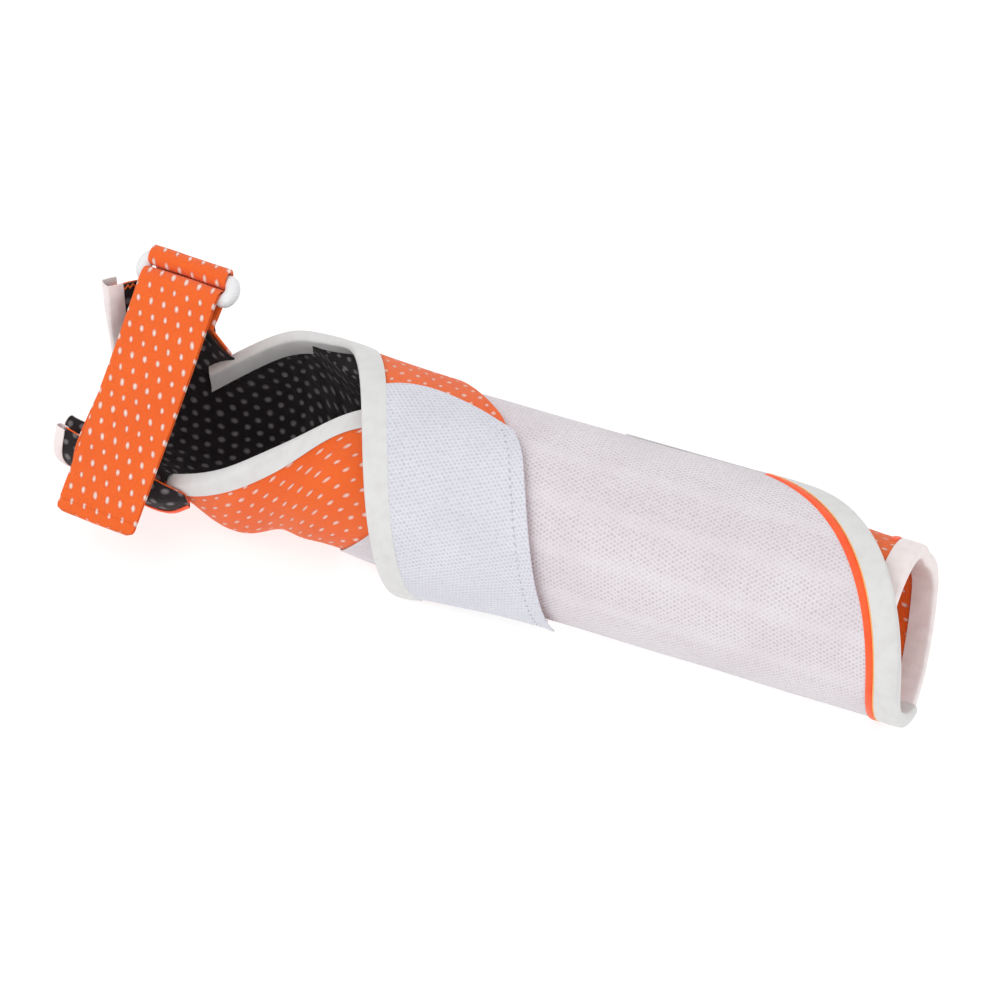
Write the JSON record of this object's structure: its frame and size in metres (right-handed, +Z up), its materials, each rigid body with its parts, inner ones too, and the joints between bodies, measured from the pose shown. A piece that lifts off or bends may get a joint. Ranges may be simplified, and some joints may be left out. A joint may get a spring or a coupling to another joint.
{
  "type": "wrist guard",
  "caption": "Wrap-around forearm and wrist guard: rolled padded sleeve, wrist wing with hook-and-loop, and an open hand band closed by a strap through a ring.",
  "frame": {"origin": "on the flat resting strip under the forearm sleeve, half way along the guard's length, below the arm axis", "axes": "+X from the hand to the elbow along the arm axis, +Z up, -Y towards the side that the wrist wing covers"},
  "size_m": [0.382, 0.1111, 0.0981],
  "materials": {
    "orange_mesh": "perforated sports mesh",
    "black_mesh": "perforated sports mesh",
    "loop_fabric": "brushed loop pile",
    "white_binding": "smooth folded tape",
    "orange_piping": "smooth folded tape",
    "foam": "open foam",
    "hook_tape": "hook tape",
    "stay_plastic": "matt",
    "ring_plastic": "frosted"
  },
  "bodies": {
    "sleeve": {"forearm_mesh_face": "orange_mesh", "forearm_foam": "foam", "forearm_lining": "orange_mesh", "tucked_edge_binding": "white_binding", "elbow_rim_binding": "white_binding", "elbow_rim_piping": "orange_piping", "hinge_side_panel": "loop_fabric", "hinge_side_piping": "orange_piping", "wrist_loop_panel": "loop_fabric", "wrist_panel_lining": "orange_mesh", "wing_root_face": "orange_mesh", "wing_root_lining": "orange_mesh", "wing_root_binding": "white_binding", "hand_band_mesh_face": "orange_mesh", "hand_band_foam": "foam", "hand_band_lining": "black_mesh", "hand_band_end_binding": "white_binding", "hand_band_top_binding": "white_binding", "wrist_mesh_face": "orange_mesh", "wrist_foam": "foam", "wrist_lining": "black_mesh", "wrist_far_binding": "white_binding", "tongue_binding": "white_binding", "wrist_loop_patch": "loop_fabric", "lip_backing": "orange_mesh", "lip_lining": "black_mesh", "strap_face": "orange_mesh", "strap_core": "foam", "strap_back": "orange_mesh", "ring_tab": "orange_mesh"},
    "wing": {"wing_mesh_face": "orange_mesh", "wing_loop_panel": "loop_fabric", "wing_lining": "orange_mesh", "wing_binding": "white_binding", "wing_hook_patch": "hook_tape"},
    "forearm_flap": {"flap_loop_panel": "loop_fabric", "flap_lining": "orange_mesh", "flap_piping": "orange_piping", "flap_elbow_binding": "white_binding", "flap_free_binding": "white_binding", "flap_hook_strip": "hook_tape", "flap_stay_1": "stay_plastic", "flap_stay_2": "stay_plastic", "flap_stay_3": "stay_plastic"},
    "strap_tail": {"tail_face": "orange_mesh", "tail_core": "foam", "tail_back": "orange_mesh", "tail_hem": "orange_mesh", "tail_hook_patch": "hook_tape"},
    "ring": {"ring": "ring_plastic"}
  },
  "joints": [
    {"name": "wing_open", "type": "hinge", "parent": "sleeve", "child": "wing", "pos_m": [-0.041, 0.01652, 0.08489], "axis": [-1, 0, 0], "range_deg": [0, 110]},
    {"name": "flap_open", "type": "hinge", "parent": "sleeve", "child": "forearm_flap", "pos_m": [0.119, -0.03519, 0.01751], "axis": [1, 0, 0], "range_deg": [0, 100]},
    {"name": "tail_peel", "type": "hinge", "parent": "sleeve", "child": "strap_tail", "pos_m": [-0.1595, 0.01047, 0.08612], "axis": [-0.9976, 0.0698, 0], "range_deg": [0, 110]},
    {"name": "ring_swivel", "type": "hinge", "parent": "sleeve", "child": "ring", "pos_m": [-0.15865, 0.0296, 0.0933], "axis": [0.9976, -0.0698, 0], "range_deg": [-3, 3]}
  ]
}
